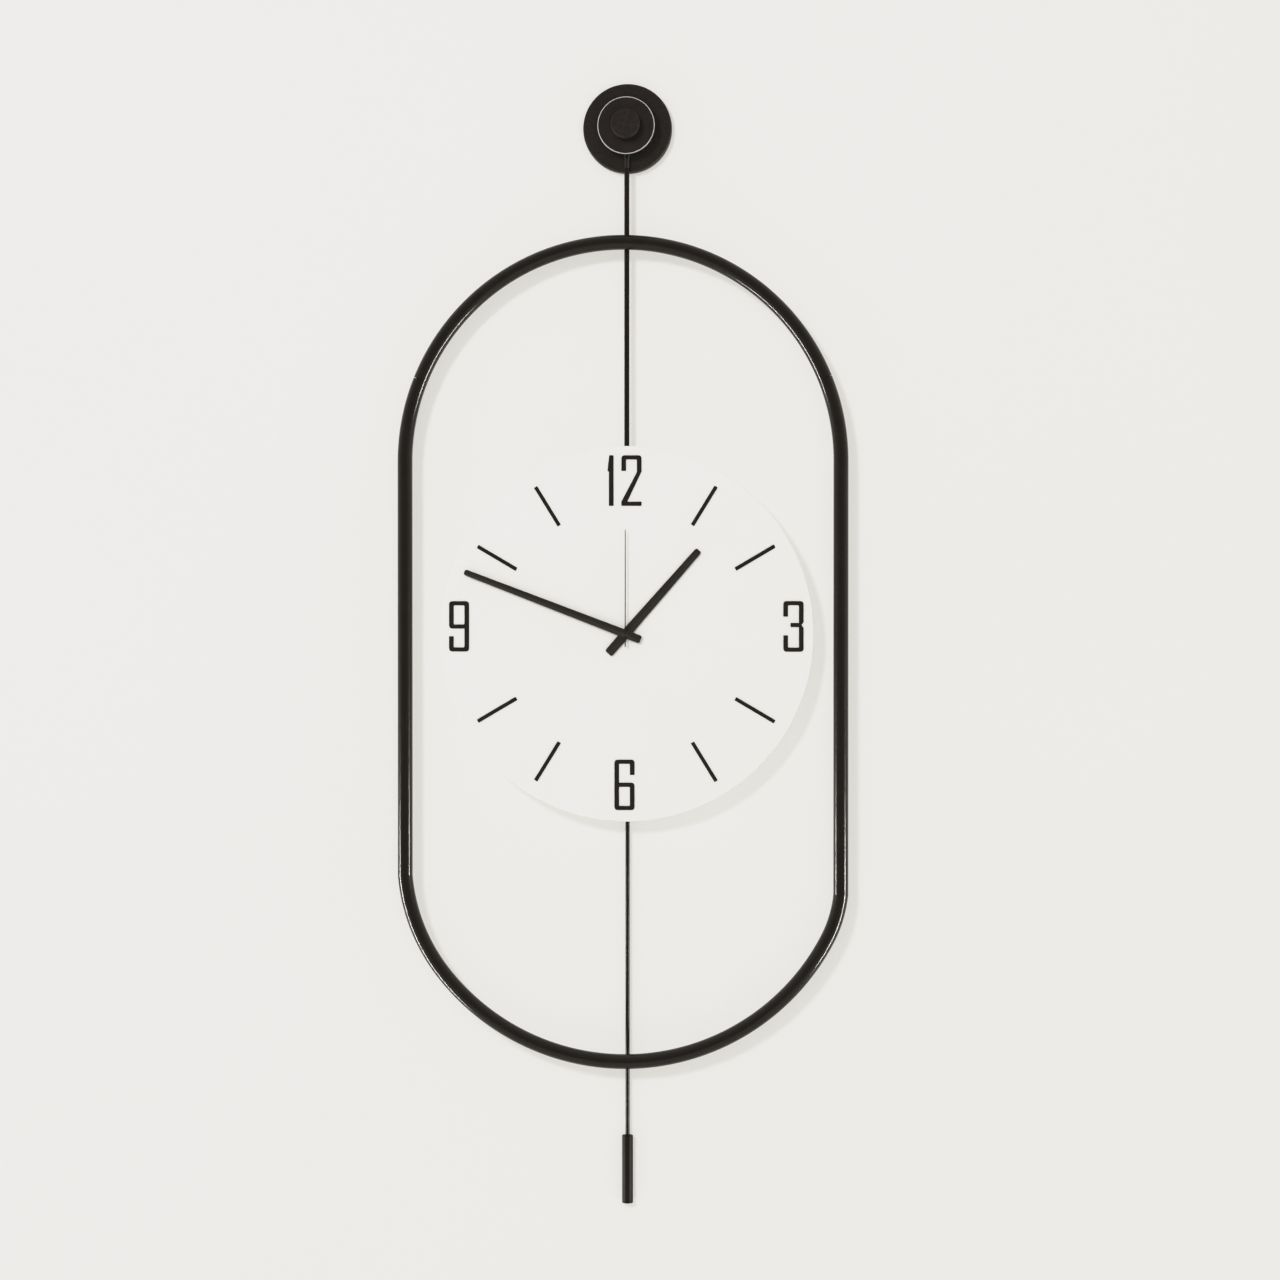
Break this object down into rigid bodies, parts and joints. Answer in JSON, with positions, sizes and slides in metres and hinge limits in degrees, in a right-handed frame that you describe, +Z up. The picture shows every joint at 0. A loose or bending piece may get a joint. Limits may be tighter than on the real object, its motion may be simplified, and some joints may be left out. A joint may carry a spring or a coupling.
{
  "type": "pendulum wall clock",
  "caption": "Round-dial wall clock in an oval tube frame, hung by a rod from a round wall hook, with a free rod pendulum and a geared battery movement.",
  "frame": {"origin": "centre of the wall hook's back face, on the wall", "axes": "+Z up, the front faces -Y, +Y points into the wall, +X to the right as seen from the front"},
  "size_m": [0.3616, 0.0602, 0.901],
  "materials": {
    "black_paint": "satin black powder coat",
    "gloss_black": "semi-gloss black enamel",
    "steel": "zinc-plated steel",
    "brass": "turned brass",
    "white_lacquer": "fibreboard with a matt white lacquer",
    "black_moulding": "matt moulded plastic",
    "white_moulding": "moulded acetal",
    "copper": "enamelled copper wire",
    "board": "solder mask",
    "battery_sleeve": "plain printed sleeve over steel",
    "magnet": "sintered ferrite"
  },
  "bodies": {
    "wall_hook": {"hook_base": "steel", "wall_screw_upper": "steel", "wall_screw_lower": "steel", "hook_rosette": "black_paint", "hook_spindle": "black_paint", "hook_front_disc": "gloss_black", "hook_button": "black_paint"},
    "clock": {"dial_bracket": "steel", "bracket_screw_left": "steel", "bracket_screw_right": "steel", "frame_upper_left_plug": "steel", "frame_upper_right_plug": "steel", "frame_lower_left_plug": "steel", "frame_lower_right_plug": "steel", "movement_screw_left": "steel", "movement_screw_right": "steel", "battery_contact_plus": "steel", "battery_contact_minus": "steel", "motor_stator": "steel", "hanger_loop": "black_paint", "hanger_rod": "black_paint", "frame_top_arc": "gloss_black", "frame_left_side": "gloss_black", "frame_right_side": "gloss_black", "frame_bottom_arc": "gloss_black", "dial": "white_lacquer", "numeral_12_one": "black_moulding", "numeral_12_two": "black_moulding", "numeral_3": "black_moulding", "numeral_6": "black_moulding", "numeral_9": "black_moulding", "hour_mark_01": "black_moulding", "hour_mark_02": "black_moulding", "hour_mark_04": "black_moulding", "hour_mark_05": "black_moulding", "hour_mark_07": "black_moulding", "hour_mark_08": "black_moulding", "hour_mark_10": "black_moulding", "hour_mark_11": "black_moulding", "movement_housing": "black_moulding", "movement_cover": "black_moulding", "motor_coil": "copper", "pendulum_coil": "copper", "circuit_board": "board", "battery": "battery_sleeve"},
    "pendulum": {"pendulum_arm": "black_moulding", "pendulum_magnet": "magnet", "pendulum_rod": "black_paint", "pendulum_weight": "gloss_black"},
    "second_hand_set": {"second_wheel": "white_moulding", "second_hand": "gloss_black"},
    "third_train": {"third_wheel": "white_moulding"},
    "minute_hand_set": {"centre_wheel": "brass", "minute_hand": "gloss_black"},
    "hour_hand_set": {"hour_wheel": "white_moulding", "hour_hand": "gloss_black"},
    "minute_train": {"minute_wheel": "white_moulding"},
    "intermediate_train": {"intermediate_wheel": "white_moulding"},
    "rotor": {"motor_rotor": "magnet"},
    "knob": {"setting_knob": "black_moulding"}
  },
  "joints": [
    {"name": "clock_hang", "type": "hinge", "parent": "wall_hook", "child": "clock", "pos_m": [0, -0.01395, 0], "axis": [0, 1, 0], "range_deg": [-5, 5]},
    {"name": "pendulum_swing", "type": "hinge", "parent": "clock", "child": "pendulum", "pos_m": [0, -0.00425, -0.3843], "axis": [0, 1, 0], "range_deg": [-4, 4]},
    {"name": "minute_turn", "type": "hinge", "parent": "clock", "child": "minute_hand_set", "pos_m": [0, -0.014, -0.4063], "axis": [0, 1, 0], "continuous": true},
    {"name": "hour_turn", "type": "hinge", "parent": "clock", "child": "hour_hand_set", "pos_m": [0, -0.014, -0.4063], "axis": [0, 1, 0], "continuous": true},
    {"name": "second_turn", "type": "hinge", "parent": "clock", "child": "second_hand_set", "pos_m": [0, -0.014, -0.4063], "axis": [0, 1, 0], "continuous": true},
    {"name": "third_wheel_turn", "type": "hinge", "parent": "clock", "child": "third_train", "pos_m": [-0.00996, -0.014, -0.40055], "axis": [0, 1, 0], "continuous": true},
    {"name": "intermediate_wheel_turn", "type": "hinge", "parent": "clock", "child": "intermediate_train", "pos_m": [0.01091, -0.014, -0.4], "axis": [0, 1, 0], "continuous": true},
    {"name": "rotor_turn", "type": "hinge", "parent": "clock", "child": "rotor", "pos_m": [0.01091, -0.014, -0.3892], "axis": [0, 1, 0], "continuous": true},
    {"name": "minute_wheel_turn", "type": "hinge", "parent": "clock", "child": "minute_train", "pos_m": [0.0087, -0.014, -0.41036], "axis": [0, 1, 0], "continuous": true},
    {"name": "setting_knob_turn", "type": "hinge", "parent": "clock", "child": "knob", "pos_m": [0.01797, -0.014, -0.41284], "axis": [0, 1, 0], "continuous": true}
  ],
  "couplings": [
    {"joint": "hour_turn", "follows": "minute_turn", "ratio": 0.083333},
    {"joint": "second_turn", "follows": "minute_turn", "ratio": 60},
    {"joint": "third_wheel_turn", "follows": "minute_turn", "ratio": -8},
    {"joint": "intermediate_wheel_turn", "follows": "minute_turn", "ratio": -360},
    {"joint": "rotor_turn", "follows": "minute_turn", "ratio": 1800},
    {"joint": "minute_wheel_turn", "follows": "minute_turn", "ratio": -0.33333},
    {"joint": "setting_knob_turn", "follows": "minute_turn", "ratio": 1}
  ]
}
